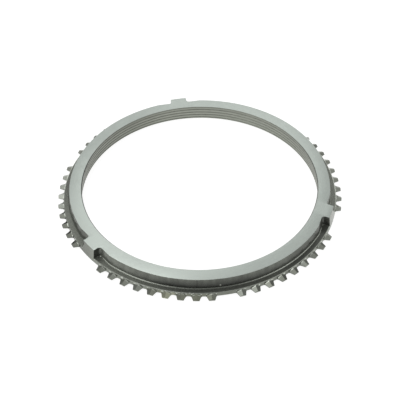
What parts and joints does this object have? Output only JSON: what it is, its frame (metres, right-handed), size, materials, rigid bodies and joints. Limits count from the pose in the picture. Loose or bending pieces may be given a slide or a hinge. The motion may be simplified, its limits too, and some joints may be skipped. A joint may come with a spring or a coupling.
{
  "type": "synchronizer ring",
  "caption": "Steel synchronizer ring with a grooved inner friction cone, a collar with index lugs and a flange with roof-shaped blocking teeth.",
  "frame": {"origin": "on the ring's axis at its lower, wide end face", "axes": "+Z along the ring's axis towards the ground upper face, +Y through the middle of one index lug"},
  "size_m": [0.1688, 0.1679, 0.0101],
  "materials": {
    "ring_steel": "ground satin upper face, dark forged and phosphated outside, olive grey turned friction cone"
  },
  "bodies": {
    "root": {"synchronizer_ring": "ring_steel"}
  },
  "joints": []
}
